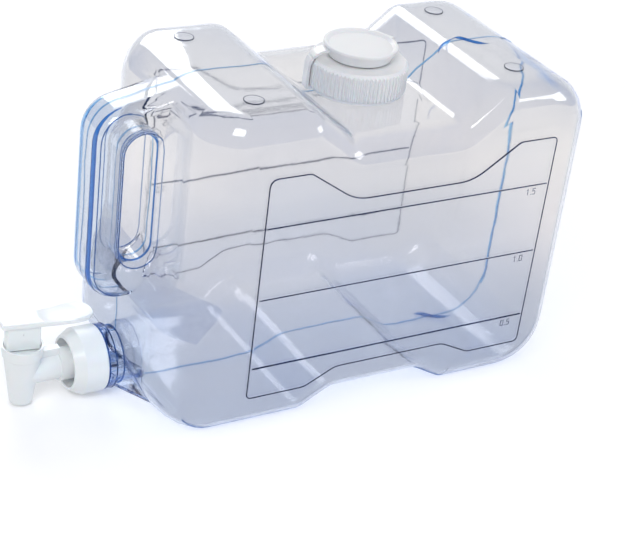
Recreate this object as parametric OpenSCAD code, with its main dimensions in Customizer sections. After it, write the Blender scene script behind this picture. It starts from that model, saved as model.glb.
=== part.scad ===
// Portable drinking-water tank: a clear blow-moulded body with an integral handle, a screw cap with a
// tethered pour lid, and a lever tap. Millimetres, +Z up. The tank stands on its two feet at z = 0.
// Lengths along the tank are measured from the filler axis, and the whole is then shifted along X so
// that the origin lies under the middle of its overall length.

/* [Tank body] */
// Width across the flat side walls, without the raised panels
body_w = 149.6; // [120:0.1:180]
// Height of the two humps above the ground
body_h = 207; // [190:0.5:240]
// Filler axis to the far end wall
far_reach = 128; // [120:0.5:150]
// Filler axis to the wall behind the hand slot
slot_wall_reach = 134; // [128:0.5:138]
// Filler axis to the low end wall that carries the tap
tap_wall_reach = 150.5; // [146:0.5:160]
// Thickness of the moulded wall
wall = 1.6; // [1.2:0.1:2.4]
// Rounding between the side walls and everything round them
edge_r = 17; // [12:0.5:20]
// Corner radius at the four ends of the profile
end_r = 33; // [28:0.5:36]
// Corner radius in plan at the tap end, high up
high_plan_r = 34; // [30:1:42]
// Corner radius in plan at the tap end, low down
low_plan_r = 30; // [22:1:36]
// Height where the low end wall starts to lean back
shoulder_z = 70; // [60:1:74]
// Height where the wall behind the hand slot starts
shoulder_top_z = 93; // [88:1:98]

/* [Valley and feet] */
// Depth of the valley between the humps
valley_drop = 22.5; // [19:0.5:33]
// Half the length of the valley floor
valley_half = 36; // [35.5:0.5:40]
// Half the length of the valley at its top
valley_top_half = 64; // [60:0.5:70]
// Rounding where the humps start
hump_r = 17; // [8:0.5:20]
// Rounding along the valley floor
valley_r = 8; // [4:0.5:9]
// Height of the arch between the feet
arch_h = 11.4; // [6:0.2:14]
// Half the length of the flat top of the arch
arch_half = 31; // [24:0.5:40]
// Half the length of the arch at the ground
arch_foot_half = 51; // [46:0.5:58]
// Distance of the arch's middle before the filler axis
arch_mid = 2; // [0:0.5:4]

/* [Handle] */
// Filler axis to the outer face of the grip
grip_reach = 176; // [171:0.5:184]
// Thickness of the grip along the tank
grip_len = 20.5; // [18:0.5:22]
// Width of the handle across the tank
grip_w = 32; // [28:0.5:36]
// Rounding of the handle's edges
grip_edge_r = 9; // [6:0.5:10]
// Height of the handle's underside
grip_low_z = 69; // [67:0.5:71]
// Height of the handle's top at the grip
grip_high_z = 194; // [190:0.5:197]
// Corner radius of the handle's outline, top and bottom
grip_corner_r = 21; // [14:0.5:24]
// Height of the lower end of the hand slot
slot_low_z = 91; // [89:0.5:96]
// Height of the upper end of the hand slot
slot_high_z = 175; // [160:0.5:178]

/* [Side panels] */
// How far each side panel stands out
panel_out = 0.8; // [0.4:0.1:1.5]
// Distance of the panel's middle beyond the filler axis
panel_mid = 2.5; // [0:0.5:4]
// Half the length of each panel
panel_half = 99.5; // [90:0.5:100]
// Distance of the panel's lower edge above the ground
panel_low_z = 24; // [22:0.5:30]
// Distance of the panel's upper edge below the humps
panel_top_gap = 35; // [30:0.5:40]
// Height of the lowest level line
level_low_z = 45; // [40:0.5:50]
// Distance between level lines
level_step = 47.7; // [40:0.1:50]
// How far the level lines stand out of the panel
level_out = 0.5; // [0.3:0.1:1]
// Width of a level line
level_w = 1.6; // [1:0.1:2.5]

/* [Stacking pads] */
// Radius of the round pads on the humps
pad_r = 6; // [4:0.5:8]
// Height of the pads
pad_h = 0.6; // [0.4:0.1:1]
// Distance between the pads across the tank
pad_gap_w = 91; // [70:0.5:100]
// Filler axis to the pads over the handle end
pad_near = 96; // [90:0.5:104]
// Filler axis to the pads at the far end
pad_far = 82.5; // [78:0.5:86]

/* [Filler and screw cap] */
// Outer radius of the filler neck
neck_r = 25; // [24:0.1:25.4]
// Wall of the filler neck
neck_wall = 3; // [2:0.1:3.5]
// Height of the filler neck above the valley floor
neck_h = 15.5; // [14:0.1:17]
// Thickness of the cap gasket
gasket_t = 1.1; // [0.8:0.1:2]
// Outer radius of the cap over its ribs
cap_r = 30.6; // [30.2:0.1:32]
// Depth of the ribs round the cap
rib_d = 0.9; // [0.6:0.1:1]
// Number of ribs round the cap
rib_n = 72; // [48:4:90]
// Thickness of the cap's top
cap_top_t = 2.4; // [2:0.1:3]
// Radial clearance between cap and neck
cap_clear = 0.3; // [0.2:0.05:0.6]
// Bore of the pour spout in the cap, as a radius
pour_r = 12.5; // [10:0.1:14]
// Wall of the pour spout
pour_wall = 2; // [1.5:0.1:2.5]
// Height of the pour spout above the cap
pour_h = 4.5; // [3.5:0.1:5]

/* [Pour lid and tether] */
// Radius of the lid's rim
lid_r = 22.8; // [20:0.1:24]
// Radius of the lid at its lower edge
lid_low_r = 19; // [17.5:0.1:20]
// Height of the lid
lid_h = 8.3; // [7.5:0.1:10]
// Gap between the lid's lower edge and the cap
lid_gap = 1.2; // [0.8:0.1:2]
// Wall of the lid
lid_t = 1.5; // [1.2:0.1:2]
// Depth of the dish in the lid's top
dish_d = 1.6; // [1:0.1:2.5]
// Radial clearance between the lid's plug and the pour spout
plug_clear = 0.2; // [0.15:0.05:0.3]
// Width of the tether strap
strap_w = 8; // [6:0.5:10]
// Thickness of the tether strap and of its ring
strap_t = 1.6; // [1.2:0.1:2]
// Gap between the cap's ribs and the strap
strap_off = 1; // [0.8:0.1:2]
// Radius of the strap's bend over the cap's edge
bend_r = 11; // [10.5:0.1:12]
// Where on that bend the strap folds, in degrees
fold_a = 140; // [125:1:142]
// Clearance round the tether's ring and at its fold
tether_clear = 0.3; // [0.2:0.05:0.35]
// Direction of the strap, turned from the tap end
tether_turn = 12; // [0:1:30]
// Length of the lid's thumb tab
tab_len = 3; // [2:0.5:5]
// Width of the lid's thumb tab
tab_w = 14; // [10:0.5:18]
// Direction of the thumb tab, turned from the far end
tab_turn = 25; // [0:1:40]

/* [Tap neck and nut] */
// Height of the tap's axis above the ground
tap_z = 21.5; // [21:0.1:28]
// Outer radius of the tap neck
tap_neck_r = 17.8; // [16.5:0.1:18]
// Bore of the tap neck, as a radius
tap_neck_bore_r = 15.2; // [14.9:0.1:15.4]
// Length of the tap neck beyond the low end wall
tap_neck_len = 18; // [16:0.5:22]
// Radius of the bead round the tap neck
bead_r = 20.3; // [19:0.1:20.8]
// Width of that bead
bead_w = 5; // [3:0.5:6]
// Low end wall to the near side of the bead
bead_off = 5.5; // [4:0.5:7]
// Outer radius of the nut
nut_r = 20.8; // [20.4:0.1:21]
// Length of the nut
nut_len = 21; // [18:0.5:24]
// Radial clearance between nut and neck
nut_clear = 0.3; // [0.2:0.05:0.5]
// Thickness of the web that clamps the tap
nut_web = 2.4; // [2:0.1:3]
// Length of the slope round the nut's front
nut_slope = 6.5; // [4:0.5:7]
// Radius of the nut's front rim
nut_front_r = 17; // [16.5:0.1:18]
// Radius of the recess in the nut's front
nut_cup_r = 15.2; // [14.5:0.1:15.6]
// Thickness of the tap washer
washer_t = 1.5; // [1:0.1:2]

/* [Tap body] */
// Tap neck's rim to the spout axis
spout_reach = 41.5; // [38:0.5:46]
// Radius of the tap's tube next to the nut
tube_r = 10.2; // [9.5:0.1:11]
// Radius of the tube next to the spout
tube_thin_r = 8.8; // [8:0.1:9.3]
// Bore of the tube, as a radius
tube_bore_r = 5; // [4:0.1:5.4]
// Distance that the thick part of the tube stands out of the nut
tube_step = 5.5; // [3:0.5:8]
// Radius of the clamping flange
flange_r = 16.4; // [15.6:0.1:17]
// Thickness of the clamping flange
flange_t = 2; // [1.5:0.1:2.5]
// Radius of the spout's collar
collar_r = 12.7; // [12.4:0.1:14]
// Height of the collar's rim above the ground
collar_z = 41; // [40:0.5:44]
// Height of the collar's band
collar_h = 7; // [5:0.5:8]
// Depth of the cup in the collar
cup_d = 2.7; // [2.2:0.1:3]
// Radius of the spout where it meets the collar
barrel_r = 11.3; // [11:0.1:12.2]
// Radius of the spout at its mouth
mouth_r = 7.1; // [6.5:0.1:8]
// Height of the spout's mouth above the ground
mouth_z = 1.2; // [0.6:0.1:3]
// Bore of the spout, as a radius
spout_bore_r = 4.6; // [4:0.1:5]
// Radius of the valve chamber
chamber_r = 6.8; // [6.4:0.1:7]
// Height of the valve seat above the ground
seat_z = 14; // [13:0.1:15]

/* [Valve] */
// Radius of the bonnet's flange
bonnet_r = 8.6; // [8:0.1:9]
// Thickness of the bonnet's flange
bonnet_t = 2; // [1.5:0.1:2.5]
// Depth of the bonnet's plug below its flange
bonnet_plug = 5; // [4.5:0.1:6]
// Clearance of fixed pieces in the tap
seat_clear = 0.1; // [0.05:0.01:0.15]
// Radius of the valve stem
stem_r = 2; // [1.8:0.05:2.2]
// Running clearance of stem and pin
run_clear = 0.05; // [0.02:0.01:0.08]
// Radius of the stem seal
seal_r = 3.6; // [3.3:0.1:4]
// Height of the stem seal
seal_h = 1.6; // [1.2:0.1:2]
// Radius of the rubber stopper
stopper_r = 6.1; // [5.7:0.1:6.3]
// Height of the rubber stopper
stopper_h = 5; // [4.4:0.1:6]
// Radius of the foot that holds the stem in the stopper
foot_r = 3.4; // [3:0.1:3.8]
// Thickness of that foot
foot_t = 1.2; // [1:0.1:1.6]
// Wire radius of the return spring
wire_r = 0.45; // [0.3:0.05:0.6]
// Radius of the return spring's coil
coil_r = 4.4; // [4:0.1:5]
// Turns of the return spring
coil_n = 4; // [3:1:5]

/* [Lever] */
// Height of the lever's pin above the collar's rim
pin_up = 9; // [8:0.1:10]
// Radius of the pin
pin_r = 1.3; // [1:0.05:1.5]
// Radius of the stem's eye
eye_r = 3.2; // [2.8:0.1:3.4]
// Half the width of the stem's eye
eye_half = 2.5; // [2:0.1:2.6]
// Spout axis to the front of the lever's skirt
skirt_front = 10.7; // [10:0.1:10.8]
// Spout axis to the back of the lever's skirt
skirt_back = 9.6; // [9:0.1:9.8]
// Half the width of the skirt at its front
skirt_front_half = 3.1; // [2.8:0.1:3.4]
// Half the width of the skirt at its back
skirt_back_half = 5.8; // [5.6:0.1:5.9]
// Wall of the lever's skirt
skirt_wall = 1.4; // [1.2:0.1:1.5]
// How far the skirt reaches into the collar
skirt_in = 2; // [1.5:0.1:2.1]
// Height of the lever's underside above the collar's rim
paddle_low = 14; // [13.5:0.5:15]
// Thickness of the paddle at its rim
paddle_t = 3.4; // [3:0.1:4]
// Spout axis to the end of the paddle
paddle_reach = 43; // [38:0.5:46]
// Half the width of the paddle
paddle_half = 9.8; // [9:0.1:11]
// Spout axis to the tip of the nose
nose_reach = 14; // [13:0.1:15]
// Half the width of the nose
nose_half = 4.2; // [3.5:0.1:5]
// Depth of the thumb scoop in the paddle
scoop_d = 1.5; // [1:0.1:2]
// Radius of the thumb scoop's curve
scoop_r = 62; // [50:1:80]
// Depth of the rib under the paddle
under_rib = 2; // [1:0.1:2.5]

/* [Hidden] */

half_w = body_w / 2;
grip_half = grip_w / 2;
overlap = 0.6;

// Filler stack, from the valley floor up
valley_z = body_h - valley_drop;
neck_top_z = valley_z + neck_h;
cap_in_z = neck_top_z + gasket_t;
cap_top_z = cap_in_z + cap_top_t;
cap_bore_r = neck_r + cap_clear;
ring_low_z = valley_z + tether_clear;
cap_low_z = ring_low_z + strap_t + tether_clear;
pour_top_z = cap_top_z + pour_h;
lid_low_z = cap_top_z + lid_gap;
lid_top_z = lid_low_z + lid_h;
strap_u = -(cap_r + strap_off + strap_t / 2);
bend_u = strap_u + bend_r;
bend_z = lid_top_z - 4 - bend_r;
fold_u = bend_u + bend_r * cos(fold_a);
fold_z = bend_z + bend_r * sin(fold_a);

// Tap stack, from the tap neck's rim outwards
rim_u = -(tap_wall_reach + tap_neck_len);
flange_u = rim_u - washer_t;
web_u = flange_u - flange_t - seat_clear;
nut_back_u = -(tap_wall_reach + bead_off + bead_w) - nut_clear;
nut_front_u = nut_back_u - nut_len;
tube_step_u = nut_front_u - tube_step;
spout_u = rim_u - spout_reach;
cup_z = collar_z - cup_d;
bonnet_low_z = cup_z - bonnet_t;
plug_low_z = bonnet_low_z - bonnet_plug;
pin_z = collar_z + pin_up;
skirt_low_z = collar_z - skirt_in;
paddle_z = collar_z + paddle_low;
stopper_z = seat_z + run_clear;
stopper_top_z = stopper_z + stopper_h;
foot_z = stopper_z + 1.6;
pin_half = skirt_back_half - skirt_wall - run_clear;

// The origin lies midway between the lever's nose and the far end wall
shift_u = -((spout_u - nose_reach) + far_reach) / 2;

// ---- Outlines with rounded corners ----

function unit(v) = v / norm(v);
function side_normal(a, b) = let (d = unit(b - a)) [-d[1], d[0]];
function turned(v, a) = [v[0] * cos(a) - v[1] * sin(a), v[0] * sin(a) + v[1] * cos(a)];
function place(c) = [c[0], c[1]];

// Points of one corner of a closed anticlockwise outline, moved inwards by inset
function corner_arc(before, here, after, radius, inset, steps) =
    let (n1 = side_normal(before, here),
         n2 = side_normal(here, after),
         turn = atan2(n1[0] * n2[1] - n1[1] * n2[0], n1 * n2),
         hand = turn < 0 ? -1 : 1,
         mitre = (n1 + n2) / (1 + n1 * n2),
         r = max(radius - hand * inset, 0.3),
         centre = here + mitre * inset + mitre * (hand * r))
    [for (k = [0:steps]) centre - turned(n1, turn * k / steps) * (hand * r)];

// corners holds [x, z, radius, steps] for each corner
function rounded_outline(corners, inset) =
    let (n = len(corners))
    [for (i = [0:n - 1])
        let (c = corners[i])
        each corner_arc(place(corners[(i + n - 1) % n]), place(c), place(corners[(i + 1) % n]),
                        c[2], inset, c[3])];

function total(v, i = 0) = i == len(v) - 1 ? v[i] : v[i] + total(v, i + 1);
function mean(v) = total(v) / len(v);

// Solid between rings of equal length, each a closed outline seen from the front as anticlockwise.
// A fan from the ring's mean point closes each end, so an end may have hollows as long as that
// point sees its whole outline.
module loft(rings) {
    n = len(rings[0]);
    last = len(rings) - 1;
    count = n * len(rings);
    sides = [for (i = [0:last - 1]) for (j = [0:n - 1])
        each [[i * n + j, i * n + (j + 1) % n, (i + 1) * n + (j + 1) % n],
              [i * n + j, (i + 1) * n + (j + 1) % n, (i + 1) * n + j]]];
    front = [for (j = [0:n - 1]) [count, (j + 1) % n, j]];
    back = [for (j = [0:n - 1]) [count + 1, last * n + j, last * n + (j + 1) % n]];
    polyhedron(points = [for (ring = rings) each ring, mean(rings[0]), mean(rings[last])],
               faces = concat(front, back, sides), convexity = 6);
}

// ---- Tank body ----

profile = [
    [-tap_wall_reach, 0, end_r - 3, 8],
    [-arch_mid - arch_foot_half, 0, 12, 2],
    [-arch_mid - arch_half, arch_h, 12, 2],
    [-arch_mid + arch_half, arch_h, 12, 2],
    [-arch_mid + arch_foot_half, 0, 12, 2],
    [far_reach, 0, end_r, 8],
    [far_reach, body_h, end_r, 8],
    [valley_top_half, body_h, hump_r, 4],
    [valley_half, valley_z, valley_r, 3],
    [-valley_half, valley_z, valley_r, 3],
    [-valley_top_half, body_h, hump_r, 4],
    [-slot_wall_reach, body_h, 23, 6],
    [-slot_wall_reach, shoulder_top_z, 16, 3],
    [-tap_wall_reach, shoulder_z, 12, 3]
];

// Stations across the tank, from one side wall to the other
angles = [0, 12, 24, 36, 47, 57, 66, 74, 82, 90];
side_steps = [for (a = angles) high_plan_r * (1 - sin(a))];

function round_in(r, depth) = depth >= r ? 0 : r - sqrt(r * r - (r - depth) * (r - depth));
function share(z) = min(max((z - shoulder_z) / (shoulder_top_z - shoulder_z), 0), 1);
function plan_r(z) = low_plan_r + (high_plan_r - low_plan_r) * share(z);

// How much further in than the edge rounding the tap end lies, at a depth in from the side wall
function plan_in(p, depth, inset) =
    let (fade_u = -valley_top_half - 6,
         end_u = -tap_wall_reach + (tap_wall_reach - slot_wall_reach) * share(p[1]),
         w = min(max((fade_u - p[0]) / (fade_u - end_u), 0), 1))
    max(round_in(plan_r(p[1]) - inset, depth) - round_in(edge_r - inset, depth), 0) * w;

function body_ring(y, depth, inset) =
    let (outline = rounded_outline(profile, inset + round_in(edge_r - inset, depth)))
    [for (p = outline) [p[0] + plan_in(p, depth, inset), y, p[1]]];

// The tank without its handle. inset 0 gives its outside, and inset wall its inside
module body_form(inset) {
    steps = [for (s = side_steps) s * (high_plan_r - inset) / high_plan_r];
    last = len(steps) - 1;
    front = [for (i = [last:-1:0]) body_ring(-(half_w - inset - steps[i]), steps[i], inset)];
    back = [for (s = steps) body_ring(half_w - inset - s, s, inset)];
    loft(concat(front, back));
}

handle_profile = [
    [-grip_reach, grip_low_z, grip_corner_r, 7],
    [-slot_wall_reach + 22, grip_low_z, 3, 1],
    [-slot_wall_reach + 22, body_h - 1.5, 3, 1],
    [-grip_reach, grip_high_z - 3, grip_corner_r, 7]
];

slot_left = -grip_reach + grip_len;
slot_r = (-slot_wall_reach - slot_left) / 2;
slot_profile = [
    [slot_left, slot_low_z, slot_r, 6],
    [-slot_wall_reach, slot_low_z, slot_r, 6],
    [-slot_wall_reach, slot_high_z, slot_r, 6],
    [slot_left, slot_high_z, slot_r, 6]
];

grip_angles = [0, 18, 36, 54, 72, 90];

function flat_ring(corners, y, inset) = [for (p = rounded_outline(corners, inset)) [p[0], y, p[1]]];

// A plate across the tank's middle with rounded edges
module rounded_plate(corners, half, r, inset) {
    rr = r - inset;
    last = len(grip_angles) - 1;
    front = [for (i = [last:-1:0]) let (a = grip_angles[i])
        flat_ring(corners, -(half - r + rr * sin(a)), inset + rr * (1 - cos(a)))];
    back = [for (a = grip_angles) flat_ring(corners, half - r + rr * sin(a), inset + rr * (1 - cos(a)))];
    loft(concat(front, back));
}

// The space of the hand slot, which flares towards both faces of the handle
module slot_space(inset) {
    rr = grip_edge_r - inset;
    flat = grip_half - grip_edge_r;
    past = 4;
    last = len(grip_angles) - 1;
    front = [for (i = [last:-1:0]) let (a = grip_angles[i])
        flat_ring(slot_profile, -(flat + rr * sin(a)), -inset - rr * (1 - cos(a)))];
    back = [for (a = grip_angles) flat_ring(slot_profile, flat + rr * sin(a), -inset - rr * (1 - cos(a)))];
    first = flat_ring(slot_profile, -(flat + rr + past), -inset - rr);
    end = flat_ring(slot_profile, flat + rr + past, -inset - rr);
    loft(concat([first], front, back, [end]));
}

module handle_form(inset) {
    difference() {
        rounded_plate(handle_profile, grip_half, grip_edge_r, inset);
        slot_space(inset);
    }
}

// Outline of the raised side panel, which follows the tank's profile
panel_top_z = body_h - panel_top_gap;
panel_dip_z = valley_z - panel_top_gap + 1;
panel_arch_z = panel_low_z + arch_h - 1;
panel_profile = [
    [panel_mid - panel_half, panel_low_z, 3, 3],
    [panel_mid - arch_foot_half - 9, panel_low_z, 12, 3],
    [panel_mid - arch_half - 8, panel_arch_z, 12, 3],
    [panel_mid + arch_half + 8, panel_arch_z, 12, 3],
    [panel_mid + arch_foot_half + 9, panel_low_z, 12, 3],
    [panel_mid + panel_half, panel_low_z, 3, 3],
    [panel_mid + panel_half, panel_top_z, 3, 3],
    [panel_mid + valley_top_half + 8.5, panel_top_z, 6, 3],
    [panel_mid + valley_half + 5, panel_dip_z, 30, 5],
    [panel_mid - valley_half - 5, panel_dip_z, 30, 5],
    [panel_mid - valley_top_half - 9, panel_top_z, 6, 3],
    [panel_mid - panel_half, panel_top_z, 5, 3]
];

// A level line, which stands out of the panel's face with sloped flanks
module level_line(z) {
    translate([panel_mid - panel_half + level_w, -panel_out - overlap, z])
        rotate([90, 0, 90])
            linear_extrude(height = 2 * (panel_half - level_w))
                polygon([[0.3, -level_w / 2], [0.3, level_w / 2], [-level_out, level_w / 5],
                         [-level_out, -level_w / 5]]);
}

module side_panel() {
    rotate([90, 0, 0])
        linear_extrude(height = panel_out + overlap)
            polygon(rounded_outline(panel_profile, 0));
    for (i = [0:2])
        level_line(level_low_z + i * level_step);
}

module side_panels() {
    translate([0, -half_w + overlap, 0]) side_panel();
    mirror([0, 1, 0]) translate([0, -half_w + overlap, 0]) side_panel();
}

module stacking_pads() {
    for (u = [-pad_near, pad_far], y = [-pad_gap_w / 2, pad_gap_w / 2])
        translate([u, y, body_h - overlap])
            rotate_extrude()
                polygon([[0, 0], [pad_r, 0], [pad_r, overlap + pad_h / 2],
                         [pad_r - pad_h / 2, overlap + pad_h], [0, overlap + pad_h]]);
}

module along_tap(u) {
    translate([u, 0, tap_z]) rotate([0, -90, 0]) children();
}

module tank_body() {
    color("lightsteelblue", 0.5)
    translate([shift_u, 0, 0])
    difference() {
        union() {
            difference() {
                union() {
                    body_form(0);
                    handle_form(0);
                }
                body_form(wall);
                handle_form(wall);
            }
            side_panels();
            stacking_pads();
            // filler neck
            translate([0, 0, valley_z - wall])
                cylinder(r = neck_r, h = neck_h + wall);
            // tap neck and its bead
            along_tap(-tap_wall_reach + end_r - 8)
                difference() {
                    cylinder(r = tap_neck_r, h = tap_neck_len + end_r - 8);
                    translate([0, 0, -1]) cylinder(r = tap_neck_bore_r, h = 8);
                }
            along_tap(-tap_wall_reach - bead_off)
                cylinder(r = bead_r, h = bead_w);
        }
        translate([0, 0, valley_z - wall - 1])
            cylinder(r = neck_r - neck_wall, h = neck_h + wall + 2);
        along_tap(-tap_wall_reach + end_r - 7)
            cylinder(r = tap_neck_bore_r, h = tap_neck_len + end_r);
    }
}

// ---- Filler, cap and lid ----

// Corners of one rib and one groove of the cap's outline
function rib_corners(i) =
    let (a = 360 * i / rib_n, step = 360 / rib_n, low = cap_r - rib_d)
    [for (c = [[low, 0], [cap_r, 0.18], [cap_r, 0.5], [low, 0.68]])
        [c[0] * cos(a + step * c[1]), c[0] * sin(a + step * c[1])]];

module screw_cap() {
    cap_h = cap_top_z - cap_low_z;
    color("white")
    translate([shift_u, 0, 0])
    difference() {
        union() {
            intersection() {
                translate([0, 0, cap_low_z])
                    linear_extrude(height = cap_h)
                        polygon([for (i = [0:rib_n - 1]) each rib_corners(i)]);
                translate([0, 0, cap_low_z])
                    rotate_extrude()
                        polygon([[0, 0], [cap_r + 1, 0], [cap_r + 1, cap_h - 3.2], [cap_r - 2.2, cap_h],
                                 [0, cap_h]]);
            }
            translate([0, 0, cap_top_z - overlap])
                cylinder(r = pour_r + pour_wall, h = pour_h + overlap);
        }
        translate([0, 0, cap_low_z - 1]) cylinder(r = cap_bore_r, h = cap_in_z - cap_low_z + 1);
        translate([0, 0, cap_in_z - 1]) cylinder(r = pour_r, h = pour_top_z - cap_in_z + 2);
    }
}

module cap_gasket() {
    color("dimgray")
    translate([shift_u, 0, neck_top_z])
    difference() {
        cylinder(r = neck_r, h = gasket_t);
        translate([0, 0, -1]) cylinder(r = neck_r - neck_wall, h = gasket_t + 2);
    }
}

// A strip of the strap's width along a path in the strap's own plane
module strap_strip(points) {
    rotate([90, 0, 0])
        translate([0, 0, -strap_w / 2])
            linear_extrude(height = strap_w)
                polygon(points);
}

// Points along the strap's bend, at a distance out from its middle
function bend_points(from, to, out) =
    [for (k = [0:8]) let (a = from + (to - from) * k / 8)
        [bend_u + (bend_r + out) * cos(a), bend_z + (bend_r + out) * sin(a)]];

module fold_pin(r, w) {
    translate([fold_u, w / 2, fold_z]) rotate([90, 0, 0]) cylinder(r = r, h = w);
}

module tether_strap() {
    half = strap_t / 2;
    color("white")
    translate([shift_u, 0, 0])
    rotate([0, 0, -tether_turn])
    difference() {
        union() {
            translate([0, 0, ring_low_z]) cylinder(r = cap_r - 1, h = strap_t);
            strap_strip([[strap_u - half, ring_low_z], [-neck_r - 1, ring_low_z],
                         [-neck_r - 1, ring_low_z + strap_t], [strap_u + half, ring_low_z + strap_t],
                         each bend_points(180, fold_a, -half),
                         each bend_points(fold_a, 180, half)]);
        }
        translate([0, 0, ring_low_z - 1]) cylinder(r = neck_r + tether_clear, h = strap_t + 2);
        // flat end under the fold, so that the lid folds right back
        translate([fold_u - 8, -strap_w / 2 - 1, fold_z - half - tether_clear])
            cube([16, strap_w + 2, 12]);
    }
}

module pour_lid() {
    plug_r = pour_r - plug_clear;
    plug_h = pour_h - lid_gap;
    color("white")
    translate([shift_u, 0, 0])
    difference() {
        union() {
            translate([0, 0, lid_low_z])
                rotate_extrude()
                    polygon([[0, 0], [lid_low_r, 0], [lid_r - 0.6, lid_h - 2.4], [lid_r, lid_h - 1.6],
                             [lid_r, lid_h - 0.4], [lid_r - 0.4, lid_h], [lid_r - 1.6, lid_h],
                             [lid_r - 3.4, lid_h - dish_d], [0, lid_h - dish_d]]);
            rotate([0, 0, -tether_turn]) {
                strap_strip([[-lid_low_r, bend_z + bend_r + strap_t / 2],
                             each bend_points(90, fold_a, strap_t / 2),
                             each bend_points(fold_a, 90, -strap_t / 2),
                             [-lid_low_r, bend_z + bend_r - strap_t / 2]]);
                fold_pin(strap_t / 2, strap_w);
            }
            rotate([0, 0, tab_turn])
                translate([lid_r - 3, -tab_w / 2, lid_low_z + lid_h - 3])
                    cube([tab_len + 3, tab_w, 1.8]);
        }
        // hollow round the pour spout
        translate([0, 0, lid_low_z - 1])
            difference() {
                cylinder(r = lid_low_r - lid_t, h = pour_top_z - lid_low_z + 1);
                translate([0, 0, lid_gap]) cylinder(r1 = plug_r - 0.5, r2 = plug_r, h = plug_h + lid_gap);
            }
        translate([0, 0, lid_low_z - 1]) cylinder(r = plug_r - 2, h = pour_h);
    }
}

// ---- Tap ----

module tap_nut() {
    color("white")
    translate([shift_u, 0, 0])
    along_tap(nut_back_u)
    difference() {
        rotate_extrude()
            polygon([[0, 0], [nut_r - 0.8, 0], [nut_r, 0.8], [nut_r, nut_len - nut_slope],
                     [nut_front_r, nut_len], [0, nut_len]]);
        translate([0, 0, -1]) cylinder(r = tap_neck_r + nut_clear, h = nut_back_u - web_u + 1);
        translate([0, 0, 1]) cylinder(r = tube_r + nut_clear, h = nut_len);
        translate([0, 0, nut_back_u - web_u + nut_web]) cylinder(r = nut_cup_r, h = nut_len);
    }
}

module tap_washer() {
    color("dimgray")
    translate([shift_u, 0, 0])
    along_tap(rim_u)
    difference() {
        cylinder(r = tap_neck_r, h = washer_t);
        translate([0, 0, -1]) cylinder(r = tap_neck_bore_r, h = washer_t + 2);
    }
}

module tap_body() {
    color("white")
    translate([shift_u, 0, 0])
    difference() {
        union() {
            along_tap(flange_u) cylinder(r = flange_r, h = flange_t);
            along_tap(flange_u) cylinder(r = tube_r, h = flange_u - tube_step_u);
            along_tap(flange_u) cylinder(r = tube_thin_r, h = flange_u - spout_u);
            // gusset between tube and collar
            translate([spout_u, -2.5, tap_z])
                cube([tube_step_u - spout_u + 1, 5, tube_thin_r + 4.5]);
            translate([spout_u, 0, 0])
                rotate_extrude()
                    polygon([[0, mouth_z], [mouth_r, mouth_z], [barrel_r, collar_z - collar_h - 1],
                             [collar_r - 0.5, collar_z - collar_h], [collar_r, collar_z],
                             [0, collar_z]]);
        }
        along_tap(flange_u + 1) cylinder(r = tube_bore_r, h = flange_u - spout_u + 1);
        translate([spout_u, 0, 0]) {
            translate([0, 0, mouth_z - 1]) cylinder(r = spout_bore_r, h = collar_z);
            translate([0, 0, seat_z]) cylinder(r = chamber_r, h = collar_z);
            translate([0, 0, bonnet_low_z]) cylinder(r = bonnet_r + seat_clear, h = collar_z);
            translate([0, 0, cup_z]) cylinder(r = collar_r - 1.3, h = cup_d + 1);
        }
    }
}

module tap_bonnet() {
    color("gainsboro")
    translate([shift_u + spout_u, 0, 0])
    difference() {
        union() {
            translate([0, 0, bonnet_low_z]) cylinder(r = bonnet_r, h = bonnet_t);
            translate([0, 0, plug_low_z]) cylinder(r = chamber_r - seat_clear, h = bonnet_plug + 1);
        }
        translate([0, 0, plug_low_z - 1]) cylinder(r = stem_r + run_clear, h = bonnet_plug + bonnet_t + 2);
        translate([0, 0, bonnet_low_z - seal_h]) cylinder(r = seal_r, h = seal_h);
    }
}

module stem_seal() {
    color("dimgray")
    translate([shift_u + spout_u, 0, bonnet_low_z - seal_h])
    difference() {
        cylinder(r = seal_r, h = seal_h);
        translate([0, 0, -1]) cylinder(r = stem_r + run_clear, h = seal_h + 2);
    }
}

module valve_stopper() {
    color("dimgray")
    translate([shift_u + spout_u, 0, 0])
    difference() {
        union() {
            translate([0, 0, stopper_z + 1]) cylinder(r = stopper_r, h = stopper_h - 1);
            translate([0, 0, stopper_z]) cylinder(r1 = stopper_r - 1, r2 = stopper_r, h = 1);
        }
        translate([0, 0, foot_z]) cylinder(r = foot_r + run_clear, h = foot_t + run_clear);
        translate([0, 0, foot_z]) cylinder(r = stem_r + run_clear, h = stopper_h);
    }
}

// A round wire along a helix with flattened end turns
spring_low = stopper_top_z + wire_r;
spring_high = plug_low_z - wire_r;
function wire_z(t) =
    spring_low + (spring_high - spring_low) * (t < 0.15 ? 0 : (t > 0.85 ? 1 : (t - 0.15) / 0.7));

module valve_spring() {
    steps = coil_n * 20;
    faces_n = 8;
    rings = [for (i = [0:steps])
        let (t = i / steps, a = 360 * coil_n * t)
        [for (k = [0:faces_n - 1])
            let (b = 360 * k / faces_n, r = coil_r + wire_r * cos(b))
            [r * cos(a), r * sin(a), wire_z(t) + wire_r * sin(b)]]];
    color("silver") translate([shift_u + spout_u, 0, 0]) loft(rings);
}

module valve_stem() {
    color("gainsboro")
    translate([shift_u + spout_u, 0, 0])
    difference() {
        union() {
            translate([0, 0, foot_z]) cylinder(r = foot_r, h = foot_t);
            translate([0, 0, foot_z]) cylinder(r = stem_r, h = pin_z - foot_z);
            translate([0, eye_half, pin_z]) rotate([90, 0, 0]) cylinder(r = eye_r, h = 2 * eye_half);
        }
        translate([0, eye_half + 1, pin_z]) rotate([90, 0, 0]) cylinder(r = pin_r, h = 2 * eye_half + 2);
    }
}

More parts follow.
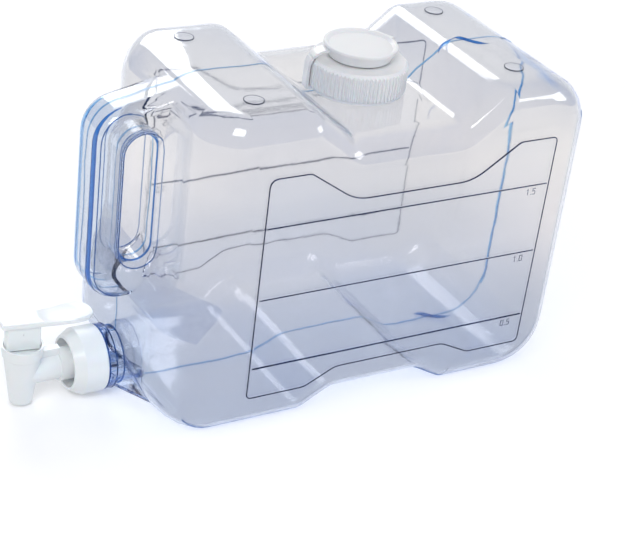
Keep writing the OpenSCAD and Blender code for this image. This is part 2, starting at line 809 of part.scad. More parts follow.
module lever_pin() {
    color("silver")
    translate([shift_u + spout_u, pin_half, pin_z])
        rotate([90, 0, 0]) cylinder(r = pin_r, h = 2 * pin_half);
}

skirt_outline = [
    [-skirt_front, -skirt_front_half, 1.2, 4],
    [skirt_back, -skirt_back_half, 1.2, 4],
    [skirt_back, skirt_back_half, 1.2, 4],
    [-skirt_front, skirt_front_half, 1.2, 4]
];
paddle_outline = [
    [-nose_reach, -nose_half, 1, 4],
    [paddle_reach - 14, -paddle_half, 20, 4],
    [paddle_reach, -paddle_half + 0.5, 8.6, 8],
    [paddle_reach, paddle_half - 0.5, 8.6, 8],
    [paddle_reach - 14, paddle_half, 20, 4],
    [-nose_reach, nose_half, 1, 4]
];

module prism(corners, inset, low, high) {
    translate([0, 0, low])
        linear_extrude(height = high - low)
            polygon(rounded_outline(corners, inset));
}

module tap_lever() {
    top_z = paddle_z + paddle_t;
    color("white")
    translate([shift_u + spout_u, 0, 0])
    difference() {
        union() {
            prism(skirt_outline, 0.6, skirt_low_z, skirt_low_z + 1);
            prism(skirt_outline, 0, skirt_low_z + 0.6, paddle_z + overlap);
            prism(paddle_outline, 0, paddle_z + 0.6, top_z - 0.6);
            prism(paddle_outline, 0.6, paddle_z, top_z);
            // rib under the paddle
            translate([skirt_back - 1, -2, paddle_z - under_rib]) cube([13, 4, under_rib + 1]);
        }
        difference() {
            prism(skirt_outline, skirt_wall, skirt_low_z - 1, paddle_z);
            // ears that carry the pin
            for (s = [-1, 1])
                translate([-3, s > 0 ? eye_half + seat_clear : -eye_half - seat_clear - 8, pin_z - 4])
                    cube([6, 8, 20]);
        }
        translate([0, 0, skirt_low_z - 1]) cylinder(r = stem_r + 0.6, h = 8);
        // room for the stem's eye
        translate([0, eye_half + seat_clear, pin_z])
            rotate([90, 0, 0]) cylinder(r = eye_r + 0.4, h = 2 * (eye_half + seat_clear));
        translate([0, pin_half + run_clear, pin_z])
            rotate([90, 0, 0]) cylinder(r = pin_r + run_clear, h = 2 * (pin_half + run_clear));
        // thumb scoop
        translate([paddle_reach - 21, 0, top_z - scoop_d + scoop_r]) sphere(r = scoop_r);
    }
}

tank_body();
screw_cap();
cap_gasket();
tether_strap();
pour_lid();
tap_body();
tap_nut();
tap_washer();
tap_bonnet();
stem_seal();
valve_stopper();
valve_spring();
valve_stem();
lever_pin();
tap_lever();
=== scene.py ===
"""Visual model of a clear drinking-water tank with a handle, a screw cap and a lever tap."""
import math

import bmesh
import bpy
from mathutils import Matrix, Vector, noise
from mathutils.bvhtree import BVHTree


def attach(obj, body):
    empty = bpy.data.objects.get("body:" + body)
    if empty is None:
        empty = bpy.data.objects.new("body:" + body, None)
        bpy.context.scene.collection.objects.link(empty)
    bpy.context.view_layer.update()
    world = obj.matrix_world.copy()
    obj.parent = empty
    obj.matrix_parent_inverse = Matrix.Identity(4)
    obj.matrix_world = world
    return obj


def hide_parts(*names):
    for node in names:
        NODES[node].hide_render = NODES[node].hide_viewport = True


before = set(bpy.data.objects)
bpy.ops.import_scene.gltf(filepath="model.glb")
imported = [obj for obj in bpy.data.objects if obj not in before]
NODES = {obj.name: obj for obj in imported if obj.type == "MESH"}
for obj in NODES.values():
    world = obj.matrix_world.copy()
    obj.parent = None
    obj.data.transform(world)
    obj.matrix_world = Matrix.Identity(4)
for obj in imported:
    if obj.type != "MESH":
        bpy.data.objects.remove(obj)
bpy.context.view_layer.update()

MM = 0.001

# Places and radii in millimetres, in the frame's own axes
FILLER_X = 48.0  # middle of the filler neck
VALLEY_Z = 184.5  # floor of the valley between the humps
HUMP_Z = 207.0  # top of the humps
NECK_R = 25.0  # outside of the filler neck
TAP_Z = 21.5  # middle of the tap's neck
FACE_Y = 75.6  # face of a raised side panel
LEVELS = (45.0, 92.7, 140.4)  # heights of the level lines
LEVEL_ENDS = (-47.0, 148.2)  # where they start and stop
HALF_WALL = 0.8  # half the thickness of the tank's wall
EDGE_R = 9.0  # rounding of the handle's edges and of its slot
EDGE_Y = 7.0  # where that rounding starts, from the middle plane

# The sides of the tank, and the words for them in the pieces' names
SIDES = ((-1, "front"), (1, "rear"))


# ---------------------------------------------------------------- shader maths


class Value:
    """A node socket that takes part in sums, each of which adds a Math node."""

    def __init__(self, shader, socket):
        self.shader = shader
        self.socket = socket

    def _math(self, operation, *others):
        return self.shader.math(operation, self, *others)

    def __add__(self, other):
        return self._math("ADD", other)

    def __sub__(self, other):
        return self._math("SUBTRACT", other)

    def __mul__(self, other):
        return self._math("MULTIPLY", other)

    def __truediv__(self, other):
        return self._math("DIVIDE", other)

    def __pow__(self, other):
        return self._math("POWER", other)

    def __radd__(self, other):
        return self.shader.math("ADD", other, self)

    def __rsub__(self, other):
        return self.shader.math("SUBTRACT", other, self)

    def __rmul__(self, other):
        return self.shader.math("MULTIPLY", other, self)

    def __rtruediv__(self, other):
        return self.shader.math("DIVIDE", other, self)

    def __abs__(self):
        return self._math("ABSOLUTE")

    def clamp(self):
        node = self.shader.node("ShaderNodeClamp", {}, {"Value": self})
        return self.shader.out(node, "Result")


class Shader:
    """The node tree of a material or of the world."""

    def __init__(self, owner):
        owner.use_nodes = True
        self.owner = owner
        self.tree = owner.node_tree
        self.tree.nodes.clear()

    def node(self, kind, settings, inputs):
        made = self.tree.nodes.new(kind)
        for key, value in settings.items():
            if key == "stops":
                ramp = made.color_ramp
                while len(ramp.elements) < len(value):
                    ramp.elements.new(0.5)
                for element, (place, colour) in zip(ramp.elements, value):
                    element.position = place
                    element.color = rgba(colour)
            else:
                setattr(made, key, value)
        for key, value in inputs.items():
            socket = made.inputs[key]
            if isinstance(value, Value):
                self.tree.links.new(value.socket, socket)
            elif isinstance(value, bpy.types.NodeSocket):
                self.tree.links.new(value, socket)
            else:
                socket.default_value = value
        return made

    def out(self, node, name=0):
        return Value(self, node.outputs[name])

    def math(self, operation, *values):
        settings = {"operation": operation}
        return self.out(self.node("ShaderNodeMath", settings, dict(enumerate(values))))

    def place(self):
        return self.out(self.node("ShaderNodeTexCoord", {}, {}), "Object")

    def split(self, vector):
        node = self.node("ShaderNodeSeparateXYZ", {}, {"Vector": vector})
        return self.out(node, "X"), self.out(node, "Y"), self.out(node, "Z")

    def noise(self, vector, scale, detail, roughness):
        node = self.node(
            "ShaderNodeTexNoise", {},
            {"Vector": vector, "Scale": scale, "Detail": detail, "Roughness": roughness},
        )
        return self.out(node, "Fac")

    def ramp(self, factor, stops):
        node = self.node("ShaderNodeValToRGB", {"stops": stops}, {"Fac": factor})
        return self.out(node, "Color")

    def mix(self, factor, one, two, blend="MIX"):
        # by number, because a Mix node's sockets of all kinds share their names
        settings = {"data_type": "RGBA", "blend_type": blend}
        node = self.node("ShaderNodeMix", settings, {0: factor, 6: one, 7: two})
        return self.out(node, 2)

    def bump(self, height, strength, distance):
        node = self.node(
            "ShaderNodeBump", {}, {"Height": height, "Strength": strength, "Distance": distance}
        )
        return self.out(node, "Normal")

    def shader_mix(self, factor, one, two):
        inputs = {0: factor, 1: one.outputs[0], 2: two.outputs[0]}
        return self.node("ShaderNodeMixShader", {}, inputs)

    def backdrop_rays(self):
        """1 for a ray from the camera, off a glossy surface or through clear plastic."""
        path = self.node("ShaderNodeLightPath", {}, {})
        bent = self.math(
            "MAXIMUM", self.out(path, "Is Glossy Ray"), self.out(path, "Is Transmission Ray")
        )
        return self.math("MAXIMUM", self.out(path, "Is Camera Ray"), bent)

    def finish(self, surface, volume=None):
        """Adds the output node, and gives back the material or world."""
        kind = "World" if isinstance(self.owner, bpy.types.World) else "Material"
        links = {"Surface": surface.outputs[0]}
        if volume is not None:
            links["Volume"] = volume.outputs[0]
        self.node(f"ShaderNodeOutput{kind}", {}, links)
        return self.owner


def rgba(colour, strength=1.0):
    """A colour with an alpha of 1, made darker or lighter by strength."""
    return (*[c * strength for c in colour], 1.0)


def material_shader(name):
    return Shader(bpy.data.materials.new(name))


# Painted shade on the tank by its share of the height TONE_TOP, in metres: darker low down and at
# the hump tops, lighter in between
TONE_TOP = 0.21
HEIGHT_SHADE_TONES = (
    (0.0, (0.72, 0.725, 0.74)), (0.25, (0.8, 0.785, 0.78)), (0.5, (0.97, 0.92, 0.87)),
    (0.76, (0.995, 0.95, 0.89)), (1.0, (0.81, 0.8, 0.8)),
)
GRIP_TONE = (0.85, 0.86, 0.87)
PINCH_TONE = (0.3, 0.5, 0.86)

# Where the handle's tone and the pinched end's tone start, and over what length, in metres
GRIP_X, GRIP_FADE = -0.088, 0.02
PINCH_X, PINCH_X_FADE = 0.152, 0.014
PINCH_UP, PINCH_UP_FADE = 0.184, 0.01
PINCH_Y, PINCH_WIDTH, PINCH_WANDER = 0.012, 0.018, 0.02
PINCH_FLAT, PINCH_STRENGTH = 1.6, 0.85


def ramp_up(value, start, length):
    """0 up to start, then rising to 1 over a length."""
    return ((value - start) / length).clamp()


def wall_colour_and_shade(s, where, wide, colour):
    """Darkens a colour by height as painted shade, gives it a tone of its own over the handle, and
    turns it blue where the tube was pinched.
    """
    across, aside, up = s.split(where)
    # painted shade: the colour is multiplied by a tone that is darker low down and at the hump
    # tops
    colour = s.mix(1.0, colour, s.ramp(up / TONE_TOP, HEIGHT_SHADE_TONES), "MULTIPLY")
    grip = ((GRIP_X - across) / GRIP_FADE).clamp()
    colour = s.mix(grip, colour, rgba(GRIP_TONE))
    # the blown tube was pinched shut at the far end's top, in a narrow band that wanders a little
    off_band = abs(aside + PINCH_Y + wide * PINCH_WANDER)
    band = (PINCH_FLAT - off_band / PINCH_WIDTH).clamp()
    end = ramp_up(across, PINCH_X, PINCH_X_FADE)
    pinched = end * ramp_up(up, PINCH_UP, PINCH_UP_FADE) * band
    return s.mix(pinched * PINCH_STRENGTH, colour, rgba(PINCH_TONE))


def clear_plastic(name, tint, absorb, density, ripple, ior=1.49, blown=False):
    """Clear plastic that lets lamp light through, with faint ripples left by the mould."""
    s = material_shader(name)
    where = s.place()
    wide = s.noise(where, scale=22.0, detail=2.0, roughness=0.45)
    fine = s.noise(where, scale=160.0, detail=1.0, roughness=0.5)
    haze = s.noise(where, scale=35.0, detail=3.0, roughness=0.6)
    colour = s.mix(haze, rgba(tint), rgba(tint, 0.985))
    # the tank's wall gets painted shade by height, a tone of its own over the handle and the
    # pinch's blue
    if blown:
        colour = wall_colour_and_shade(s, where, wide, colour)
    body = s.node(
        "ShaderNodeBsdfPrincipled", {},
        {
            "Base Color": colour,
            "Roughness": 0.02 + haze * 0.05,
            "Normal": s.bump(wide + fine * 0.03, strength=1.0, distance=ripple),
            "Transmission Weight": 1.0,
            "IOR": ior,
        },
    )
    shadow_tint = [0.55 + 0.4 * c for c in tint]
    through = s.node("ShaderNodeBsdfTransparent", {}, {"Color": rgba(shadow_tint)})
    path = s.node("ShaderNodeLightPath", {}, {})
    volume = s.node("ShaderNodeVolumeAbsorption", {}, {"Color": rgba(absorb), "Density": density})
    return s.finish(s.shader_mix(s.out(path, "Is Shadow Ray"), body, through), volume)


def white_plastic(name, colour, roughness, speck):
    """Glossy moulded plastic with faint flow marks."""
    s = material_shader(name)
    where = s.place()
    flow = s.noise(where, scale=60.0, detail=3.0, roughness=0.55)
    grain = s.noise(where, scale=900.0, detail=2.0, roughness=0.5)
    body = s.node(
        "ShaderNodeBsdfPrincipled", {},
        {
            "Base Color": s.mix(flow, rgba(colour), rgba(colour, 0.965)),
            "Roughness": roughness + flow * 0.08,
            "Normal": s.bump(grain + flow * 2.0, strength=0.25, distance=speck),
            "Subsurface Weight": 0.12,
            "Subsurface Scale": 0.004,
            "Coat Weight": 0.25,
            "Coat Roughness": 0.12,
        },
    )
    return s.finish(body)


def rubber(name, colour):
    """Soft moulded rubber with a faint bloom."""
    s = material_shader(name)
    bloom = s.noise(s.place(), scale=300.0, detail=3.0, roughness=0.6)
    body = s.node(
        "ShaderNodeBsdfPrincipled", {},
        {
            "Base Color": s.mix(bloom, rgba(colour), rgba(colour, 1.25)),
            "Roughness": 0.6 + bloom * 0.2,
            "Normal": s.bump(bloom, strength=0.4, distance=0.0002),
        },
    )
    return s.finish(body)


def wire_steel(name):
    """Drawn stainless wire with fine marks."""
    s = material_shader(name)
    marks = s.noise(s.place(), scale=1500.0, detail=2.0, roughness=0.5)
    body = s.node(
        "ShaderNodeBsdfPrincipled", {},
        {
            "Base Color": s.mix(marks, rgba((0.68, 0.68, 0.69)), rgba((0.55, 0.55, 0.57))),
            "Metallic": 1.0,
            "Roughness": 0.22 + marks * 0.15,
            "Normal": s.bump(marks, strength=0.3, distance=0.0001),
        },
    )
    return s.finish(body)


# Strands in the wall bend light only a little, so that they read as clean coloured lines
STRAND_IOR = 1.12
STRAND_RIPPLE = 0.0006

TANK_PLASTIC = clear_plastic(
    "tank_plastic", tint=(0.985, 0.985, 0.985), absorb=(0.3, 0.55, 0.94), density=57.0,
    ripple=0.0005, blown=True,
)
SEAM_PLASTIC = clear_plastic(
    "seam_plastic", tint=(0.33, 0.65, 0.93), absorb=(0.4, 0.6, 0.95), density=50.0,
    ripple=STRAND_RIPPLE, ior=STRAND_IOR,
)
FOLD_PLASTIC = clear_plastic(
    "fold_plastic", tint=(0.1, 0.3, 0.68), absorb=(0.3, 0.5, 0.9), density=80.0,
    ripple=STRAND_RIPPLE, ior=STRAND_IOR,
)
# painted shade: navy strands that draw the dark lines clear plastic shows along its edges,
# roundings and silhouette
EDGE_SHADE_PLASTIC = clear_plastic(
    "edge_shade_plastic", tint=(0.12, 0.26, 0.55), absorb=(0.2, 0.4, 0.8), density=80.0,
    ripple=STRAND_RIPPLE, ior=STRAND_IOR,
)
# painted shade: near-black lines for the dark edges of the panel steps, level ridges and pads; the
# level figures are drawn in it too, as marks
SHADE_LINE_AND_FIGURE_PLASTIC = clear_plastic(
    "shade_line_and_figure_plastic", tint=(0.02, 0.03, 0.12), absorb=(0.1, 0.1, 0.3), density=200.0, ripple=0.0002
)
WHITE = white_plastic("cap_plastic", (0.81, 0.815, 0.82), roughness=0.28, speck=0.00015)
TAP_WHITE = white_plastic("tap_plastic", (0.84, 0.87, 0.87), roughness=0.3, speck=0.00015)
RUBBER = rubber("seal_rubber", (0.06, 0.06, 0.065))
SILICONE = rubber("seal_silicone", (0.6, 0.62, 0.64))
STEEL = wire_steel("spring_wire")


# ---------------------------------------------------------------- dressed copies of CAD nodes


def copy_of(node):
    """A CAD node's mesh with its loose triangles merged."""
    bm = bmesh.new()
    bm.from_mesh(NODES[node].data)
    bmesh.ops.remove_doubles(bm, verts=bm.verts, dist=2e-6)
    return bm


def open_tap_neck(bm):
    """Brings the inner end of the tap's neck back to the inside of the tank's wall."""
    reach = 0.0184  # just over the neck's radius
    low, high = -0.09, -0.07  # its inner end lies between these
    off_wall = 0.0002
    tree = BVHTree.FromBMesh(bm)
    for v in bm.verts:
        off = Vector((0.0, v.co.y, v.co.z - TAP_Z * MM))
        if low < v.co.x < high and off.length < reach:
            aside = off.normalized() * reach
            start = Vector((v.co.x, aside.y, aside.z + TAP_Z * MM))
            hit = tree.ray_cast(start, Vector((-1, 0, 0)))[0]
            v.co.x = hit.x + off_wall


def merge_flats(bm, angle):
    """Joins faces that meet at less than an angle, in degrees."""
    bmesh.ops.dissolve_limit(
        bm, angle_limit=math.radians(angle), verts=bm.verts, edges=bm.edges, delimit={"NORMAL"}
    )


def dress(node, name, bm, material, body, angle, round_off=0.0):
    """A piece that stands for a CAD node, with edges past an angle kept sharp or rounded off."""
    mesh = bpy.data.meshes.new(name)
    bm.to_mesh(mesh)
    bm.free()
    obj = bpy.data.objects.new(name, mesh)
    bpy.context.scene.collection.objects.link(obj)
    mesh.materials.append(material)
    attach(obj, body)
    mesh.shade_smooth()
    mesh.set_sharp_from_angle(angle=math.radians(angle))
    if round_off:
        bevel = obj.modifiers.new("round", "BEVEL")
        bevel.width = round_off * MM
        bevel.segments = 2
        bevel.limit_method = "ANGLE"
        bevel.angle_limit = math.radians(angle)
        bevel.harden_normals = True
    weight = obj.modifiers.new("weight", "WEIGHTED_NORMAL")
    weight.keep_sharp = True
    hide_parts(node)
    return obj


tank_bm = copy_of("tank_body")
open_tap_neck(tank_bm)
merge_flats(tank_bm, 0.4)
tank = dress("tank_body", "tank_shell", tank_bm, TANK_PLASTIC, "tank", 25.0)
tank.modifiers["weight"].weight = 100
tank.modifiers["weight"].mode = "FACE_AREA_WITH_ANGLE"

for node, name, material, body, angle, round_off in (
    ("screw_cap", "cap_shell", WHITE, "cap", 35.0, 0.2),
    ("pour_lid", "lid_shell", WHITE, "lid", 35.0, 0.3),
    ("tether_strap", "strap_shell", WHITE, "cap", 35.0, 0.3),
    ("tap_body", "tap_shell", TAP_WHITE, "tank", 35.0, 0.3),
    ("tap_nut", "nut_shell", TAP_WHITE, "tank", 30.0, 0.4),
    ("tap_lever", "lever_shell", TAP_WHITE, "lever", 35.0, 0.5),
):
    piece_bm = copy_of(node)
    merge_flats(piece_bm, 1.0)
    dress(node, name, piece_bm, material, body, angle, round_off)


# ---------------------------------------------------------------- lines in the tank's wall


# A tapered strand's share of its radius at the tip, and how fast that grows along it
TIP_SHARE, TIP_GROWTH = 0.15, 4.0


def strand(name, bm, radius, material, taper=False):
    """Turns a mesh of loose edges into round strands in the tank's wall.

    The radius is in millimetres, and falls off towards the ends where taper is set.
    """
    mesh = bpy.data.meshes.new(name)
    bm.to_mesh(mesh)
    bm.free()
    obj = bpy.data.objects.new(name, mesh)
    bpy.context.scene.collection.objects.link(obj)
    bpy.ops.object.select_all(action="DESELECT")
    obj.select_set(True)
    bpy.context.view_layer.objects.active = obj
    bpy.ops.object.convert(target="CURVE")
    obj.data.bevel_depth = radius * MM
    for spline in obj.data.splines if taper else ():
        last = len(spline.points) - 1
        for i, point in enumerate(spline.points):
            point.radius = min(1.0, TIP_SHARE + TIP_GROWTH * min(i, last - i) / last)
    obj.data.bevel_resolution = 2
    obj.data.use_fill_caps = True
    bpy.ops.object.convert(target="MESH")
    obj.data.materials.clear()
    obj.data.materials.append(material)
    obj.data.shade_smooth()
    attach(obj, "tank")


def keep_edges(bm, edges):
    """Drops everything but these edges."""
    kept = set(edges)
    bmesh.ops.delete(bm, geom=bm.faces[:], context="FACES_ONLY")
    bmesh.ops.delete(bm, geom=[e for e in bm.edges if e not in kept], context="EDGES")


def lowest(edge, axis):
    return min(v.co[axis] for v in edge.verts)


def highest(edge, axis):
    return max(v.co[axis] for v in edge.verts)


X, Z = 0, 2  # places of a coordinate in a point


def panel_outline(side):
    """The step round one raised side panel."""
    bm = copy_of("tank_body")
    level = side * FACE_Y * MM
    near = 5e-5
    half_ridge = 0.0012

    def on_face(face):
        return abs(face.normal.y) > 0.999 and abs(face.calc_center_median().y - level) < near

    def ridge(edge):
        return any(abs(v.co.z - z * MM) < half_ridge for v in edge.verts for z in LEVELS)

    def on_rim(edge):
        faces = edge.link_faces
        return len(faces) == 2 and sum(map(on_face, faces)) == 1 and not ridge(edge)

    keep_edges(bm, [e for e in bm.edges if on_rim(e)])
    bmesh.ops.dissolve_limit(bm, angle_limit=math.radians(1), verts=bm.verts, edges=bm.edges)
    return bm


def level_lines(side):
    """The crests of three level lines."""
    bm = bmesh.new()
    crest = FACE_Y + 0.2
    for z in LEVELS:
        ends = [bm.verts.new((x * MM, side * crest * MM, z * MM)) for x in LEVEL_ENDS]
        bm.edges.new(ends)
    return bm


def wall_line(across, sink):
    """A line round the tank lengthwise, in the middle or in front of it at a distance across.

    It is sunk into the outside of the wall. Both distances are in millimetres.
    """
    bm = copy_of("tank_body")
    tree = BVHTree.FromBMesh(bm)
    cut = bmesh.ops.bisect_plane(
        bm, geom=bm.verts[:] + bm.edges[:] + bm.faces[:], plane_co=(0, across * MM, 0),
        plane_no=(0, 1, 0), clear_outer=True,
    )
    outside = []
    moves = {}
    for edge in cut["geom_cut"]:
        if not isinstance(edge, bmesh.types.BMEdge):
            continue
        normal = edge.link_faces[0].normal.copy()
        normal.y = 0
        normal.normalize()
        middle = (edge.verts[0].co + edge.verts[1].co) / 2
        # a ray to the front meets the wall from just off its inside, and nothing from its outside
        if tree.ray_cast(middle + normal * MM, Vector((0, -1, 0)))[0] is None:
            outside.append(edge)
            for v in edge.verts:
                moves.setdefault(v, []).append(normal)
    keep_edges(bm, outside)
    for v, normals in moves.items():
        mean = sum(normals, Vector()) / len(normals)
        if mean.length > 0:
            v.co -= mean.normalized() * sink * MM
    return bm


def wavy(bm, step, reach, scale, seed):
    """Breaks loose edges into short ones and lets them wander sideways."""
    for edge in bm.edges[:]:
        cuts = int(edge.calc_length() / (step * MM))
        if cuts:
            bmesh.ops.subdivide_edges(bm, edges=[edge], cuts=cuts)
    for v in bm.verts:
        where = v.co * scale + Vector((seed, seed * 2.0, seed * 3.0))
        # falloff, step in scale and octaves
        v.co.y += reach * MM * noise.fractal(where, 0.8, 2.0, 3)
    return bm


# painted shade: dark lines along each panel's step and on the level ridges' crests
for side, word in SIDES:
    strand(f"panel_shade_line_{word}", panel_outline(side), 0.4, SHADE_LINE_AND_FIGURE_PLASTIC)
    strand(f"level_lines_{word}", level_lines(side), 0.4, SHADE_LINE_AND_FIGURE_PLASTIC)

# the parting line, where the mould's halves met, runs just off the middle plane
SEAM_Y = 0.1
seam = wavy(wall_line(SEAM_Y, HALF_WALL), step=2.0, reach=1.2, scale=40.0, seed=3.1)
strand("mould_seam", seam, 0.7, SEAM_PLASTIC)


def path_mesh(points, closed=False):
    """Loose edges along points given in millimetres."""
    bm = bmesh.new()
    verts = [bm.verts.new(Vector(p) * MM) for p in points]
    following = verts[1:] + verts[:1] if closed else verts[1:]
    for one, two in zip(verts, following):
        bm.edges.new((one, two))
    return bm


def rounded_path(corners, inset, steps=6):
    """Points round a closed anticlockwise outline of (x, z, radius) corners, moved in by inset."""
    points = []
    smallest = 0.3
    count = len(corners)
    for i, (x, z, radius) in enumerate(corners):
        here = Vector((x, z))
        one = (here - Vector(corners[i - 1][:2])).normalized()
        two = (Vector(corners[(i + 1) % count][:2]) - here).normalized()
        n1, n2 = Vector((-one.y, one.x)), Vector((-two.y, two.x))
        mitre = (n1 + n2) / (1 + n1.dot(n2))
        r = max(radius - inset, smallest)
        centre = here + mitre * (inset + r)
        turn = math.atan2(n1.x * n2.y - n1.y * n2.x, n1.dot(n2))
        for k in range(steps + 1):
            a = turn * k / steps
            points.append(centre - Vector((n1.x * math.cos(a) - n1.y * math.sin(a),
                                           n1.x * math.sin(a) + n1.y * math.cos(a))) * r)
    return points


# Corners of the handle's outside and of its hand slot, as x, z and radius
GRIP = [(-128.0, 69.0, 21.0), (-64.0, 69.0, 3.0), (-64.0, 205.5, 3.0), (-128.0, 191.0, 21.0)]
SLOT = [(-107.5, 91.0, 10.75), (-86.0, 91.0, 10.75), (-86.0, 175.0, 10.75), (-107.5, 175.0, 10.75)]
GRIP_END_X = -87.0  # where the handle goes over into the tank
GRIP_MID_Z = 130.0


def grip_edge(side, angle, sink=0.0):
    """A line along the rounding of the handle's outside, at an angle round that rounding."""
    inset = EDGE_R * (1 - math.cos(math.radians(angle))) + sink
    y = side * (EDGE_Y + (EDGE_R - sink) * math.sin(math.radians(angle)))
    ring = [p for p in rounded_path(GRIP, inset) if p.x < GRIP_END_X]
    ring.sort(key=lambda p: math.atan2(p.y - GRIP_MID_Z, p.x - GRIP_END_X) % (2 * math.pi))
    return path_mesh([(p.x, y, p.y) for p in ring])


def slot_edge(side, angle):
    """A line round the flare of the hand slot."""
    inset = EDGE_R * (1 - math.cos(math.radians(angle)))
    y = side * (EDGE_Y + EDGE_R * math.sin(math.radians(angle)))
    return path_mesh([(p.x, y, p.y) for p in rounded_path(SLOT, -inset)], closed=True)


for side, word in SIDES:
    seam = wavy(grip_edge(side, 13.0, sink=1.5), step=3.0, reach=0.25, scale=60.0, seed=1.7 + side)
    strand(f"grip_seam_{word}", seam, 1.5, FOLD_PLASTIC if side < 0 else SEAM_PLASTIC, taper=True)
    # painted shade: dark lines along the handle's rounding and round the slot's flare
    strand(f"grip_edge_{word}", grip_edge(side, 50.0), 0.35, EDGE_SHADE_PLASTIC)
    strand(f"slot_edge_{word}", slot_edge(side, 42.0), 0.4, EDGE_SHADE_PLASTIC)
strand("slot_waist", slot_edge(-1, 0.0), 0.7, FOLD_PLASTIC)

# the parting line runs thick and uneven down the far end
far_seam = wall_line(SEAM_Y, HALF_WALL)
keep_edges(far_seam, [e for e in far_seam.edges if lowest(e, X) > 0.15 and lowest(e, Z) > 0.02])
far_seam = wavy(far_seam, step=2.0, reach=2.6, scale=30.0, seed=7.7)
strand("far_seam", far_seam, 1.1, SEAM_PLASTIC)


def on_front_rim(edge):
    """Round the far end below the shoulder, and along the ground."""
    far_end = highest(edge, Z) < 0.185 and lowest(edge, X) > 0.142
    return far_end or highest(edge, Z) < 0.014


# painted shade: a dark line where the thick clear wall looks dark seen edge on
rim = wall_line(-67.1, 0.15)
keep_edges(rim, [e for e in rim.edges if on_front_rim(e)])
strand("rim_shade_line", rim, 0.5, EDGE_SHADE_PLASTIC)


def bezier(one, two, three, four, steps=12):
    """Points of a cubic curve."""
    curve = []
    for k in range(steps + 1):
        t = k / steps
        weights = ((1 - t) ** 3, 3 * t * (1 - t) ** 2, 3 * t * t * (1 - t), t ** 3)
        curve.append([
            sum(w * p[i] for w, p in zip(weights, (one, two, three, four))) for i in range(3)
        ])
    return curve


# where the blown tube was pinched shut, on top of the far hump and below it on the base
PINCH_Z = HUMP_Z - 0.5
for word, points, radius in (
    ("tail", ((96, -14, PINCH_Z), (104, -2, PINCH_Z), (112, 2, PINCH_Z), (121, 4, PINCH_Z)), 0.6),
    ("mark", ((118, 4, PINCH_Z), (127, 6, PINCH_Z), (124, -8, PINCH_Z), (137, -9, PINCH_Z)), 1.5),
    ("base", ((124, 6, 2.2), (134, 4, 2.0), (133, -6, 2.0), (146, -7, 3.6)), 1.2),
):
    strand(f"pinch_{word}", path_mesh(bezier(*points)), radius, FOLD_PLASTIC, taper=True)

# Lines that draw each sign, in millimetres from its lower left
STROKES = {
    "0": [[(0, 0), (2, 0), (2, 4), (0, 4), (0, 0)]],
    "1": [[(0.4, 3.2), (1.2, 4), (1.2, 0)]],
    "5": [[(2, 4), (0.1, 4), (0, 2.3), (1.5, 2.4), (2, 1.6), (1.8, 0.4), (1, 0), (0, 0.2)]],
    ".": [[(0.4, 0), (0.8, 0)]],
}
FIGURES = ("0.5", "1.0", "1.5")
FIGURES_X = {-1: 134.0, 1: -36.0}  # where a figure starts on each side, read from outside
FIGURES_DROP = 6.5  # its foot lies this far below the line
SIGN_WIDTH = 3.2
POINT_WIDTH = 1.6


def numerals(side):
    """Figures under each level line."""
    bm = bmesh.new()
    for text, z in zip(FIGURES, LEVELS):
        run = 0.0
        for sign in text:
            for line in STROKES[sign]:
                verts = []
                for x, up in line:
                    along = FIGURES_X[side] - side * (run + x)
                    place = Vector((along, side * FACE_Y, z - FIGURES_DROP + up))
                    verts.append(bm.verts.new(place * MM))
                for one, two in zip(verts, verts[1:]):
                    bm.edges.new((one, two))
            run += POINT_WIDTH if sign == "." else SIGN_WIDTH
    return bm


for side, word in SIDES:
    strand(f"level_figures_{word}", numerals(side), 0.24, SHADE_LINE_AND_FIGURE_PLASTIC)


def ring_path(centre, radius, axis, count=48):
    """A circle in millimetres about a line along X or Z."""
    points = []
    for k in range(count):
        a = 2 * math.pi * k / count
        one, two = radius * math.cos(a), radius * math.sin(a)
        off = (0.0, one, two) if axis == X else (one, two, 0.0)
        points.append([c + o for c, o in zip(centre, off)])
    return path_mesh(points, closed=True)


# painted shade: dark rings at the root and the bead of the tap's neck
for word, x, radius in (
    ("root", -102.8, 18.2), ("bead_near", -108.2, 20.1), ("bead_far", -112.8, 20.1),
):
    strand(f"tap_neck_{word}", ring_path((x, 0.0, TAP_Z), radius, X), 0.45, EDGE_SHADE_PLASTIC)
neck_root = ring_path((FILLER_X, 0.0, VALLEY_Z + 0.3), NECK_R, Z)
strand("neck_root", neck_root, 0.5, SEAM_PLASTIC)

PADS = ((-48.0, -45.5), (-48.0, 45.5), (130.5, -45.5), (130.5, 45.5))
PAD_R = 5.9
# painted shade: a dark ring at the edge of each pad
for n, (x, y) in enumerate(PADS):
    strand(f"pad_shade_ring_{n}", ring_path((x, y, HUMP_Z + 0.35), PAD_R, Z, 40), 0.3, SHADE_LINE_AND_FIGURE_PLASTIC)

for node, material in (
    ("cap_gasket", SILICONE), ("tap_washer", SILICONE), ("tap_bonnet", TAP_WHITE),
    ("stem_seal", RUBBER), ("valve_stopper", RUBBER), ("valve_spring", STEEL),
    ("valve_stem", TAP_WHITE), ("lever_pin", STEEL),
):
    mesh = NODES[node].data
    mesh.materials.clear()
    mesh.materials.append(material)


# ---------------------------------------------------------------- floor, light and camera


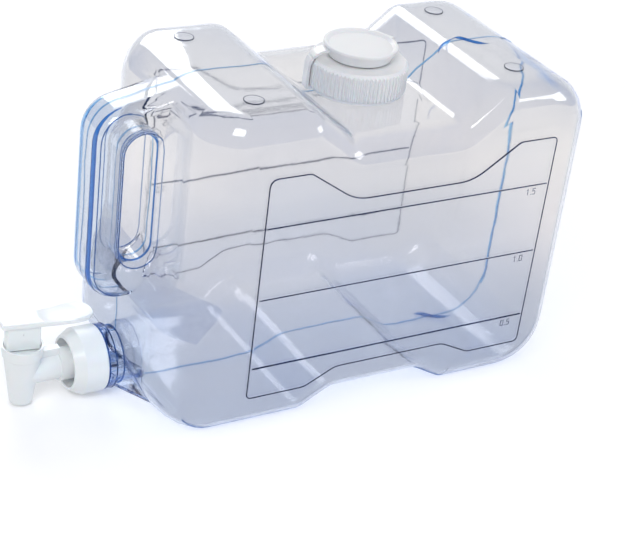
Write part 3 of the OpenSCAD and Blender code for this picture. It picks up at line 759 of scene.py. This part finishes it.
def floor_material():
    s = material_shader("floor_pale")
    matt = s.node("ShaderNodeBsdfDiffuse", {}, {"Color": rgba((0.82, 0.82, 0.83))})
    # away from the object, where the lamps don't reach, the floor stays as pale as it is beside it
    x, y, _ = s.split(s.place())
    far = ramp_up((x * x + y * y) ** 0.5, 0.6, 1.2)
    shade = s.mix(far, rgba((0.22, 0.22, 0.22)), rgba((0.6, 0.6, 0.6)))
    glow = s.node("ShaderNodeEmission", {}, {"Color": shade, "Strength": 1.0})
    none = s.node("ShaderNodeEmission", {}, {"Color": rgba((1.0, 1.0, 1.0)), "Strength": 0.0})
    lit = s.shader_mix(s.backdrop_rays(), none, glow)
    both = s.node("ShaderNodeAddShader", {}, {0: matt.outputs[0], 1: lit.outputs[0]})
    return s.finish(both)


AWAY = (0.54, 0.82, 0.0)  # the level direction in which the camera looks


def studio_world():
    s = Shader(bpy.data.worlds.new("studio"))
    dim = s.node("ShaderNodeBackground", {}, {"Color": rgba((0.93, 0.95, 1.0)), "Strength": 0.5})
    # beside and behind the camera the studio is darker, which draws the clear plastic's edges
    way = s.out(s.node("ShaderNodeTexCoord", {}, {}), "Generated")
    dot = s.node("ShaderNodeVectorMath", {"operation": "DOT_PRODUCT"}, {0: way, 1: AWAY})
    ahead = s.node(
        "ShaderNodeMapRange", {"interpolation_type": "SMOOTHSTEP"},
        {"Value": s.out(dot, "Value"), "From Min": 0.4, "From Max": 0.8},
    )
    path = s.node("ShaderNodeLightPath", {}, {})
    pale = s.math("MAXIMUM", s.out(ahead), s.out(path, "Is Camera Ray"))
    tone = s.mix(pale, rgba((0.1, 0.24, 0.6)), rgba((1.0, 1.0, 1.0)))
    bright = s.node("ShaderNodeBackground", {}, {"Color": tone, "Strength": 1.0})
    return s.finish(s.shader_mix(s.backdrop_rays(), dim, bright))


# light crosses many walls of clear plastic, and is often turned back inside them
for limit in ("max_bounces", "transmission_bounces", "glossy_bounces", "transparent_max_bounces"):
    setattr(bpy.context.scene.cycles, limit, 32)

floor_bm = bmesh.new()
FLOOR_REACH = 4.0
bmesh.ops.create_grid(floor_bm, x_segments=1, y_segments=1, size=FLOOR_REACH)
floor_mesh = bpy.data.meshes.new("floor")
floor_bm.to_mesh(floor_mesh)
floor_bm.free()
floor = bpy.data.objects.new("floor", floor_mesh)
floor.location = (0, 0, -0.0002)  # just clear of the tank's feet
bpy.context.scene.collection.objects.link(floor)
floor_mesh.materials.append(floor_material())

bpy.context.scene.world = studio_world()

LAMP_AIM = Vector((0, 0, 0.1))
for name, place, size, power in (
    ("key", (-0.9, -0.9, 1.3), 0.7, 13.0),
    ("fill", (1.2, -0.9, 0.7), 0.6, 7.0),
    ("back", (0.2, 1.3, 1.0), 0.8, 8.0),
):
    data = bpy.data.lights.new(name, "AREA")
    data.energy = power
    data.size = size
    lamp = bpy.data.objects.new(name, data)
    lamp.location = place
    lamp.rotation_mode = "QUATERNION"
    lamp.rotation_quaternion = (LAMP_AIM - Vector(place)).to_track_quat("-Z", "Y")
    bpy.context.scene.collection.objects.link(lamp)

camera_data = bpy.data.cameras.new("camera")
camera_data.sensor_width = 36.0
camera_data.lens = 96.8
camera_data.clip_start = 0.05
camera_data.clip_end = 20.0
camera = bpy.data.objects.new("camera", camera_data)
right = Vector((0.866044, -0.48645, 0.115476))
down = Vector((-0.161057, -0.490095, -0.856661))
ahead = Vector((0.473317, 0.723307, -0.502789))
camera.rotation_mode = "QUATERNION"
camera.rotation_quaternion = Matrix((right, -down, -ahead)).transposed().to_quaternion()
camera.location = (-0.48695, -0.80752, 0.60844)
bpy.context.scene.collection.objects.link(camera)
bpy.context.scene.camera = camera
bpy.context.scene.view_settings.view_transform = "Standard"
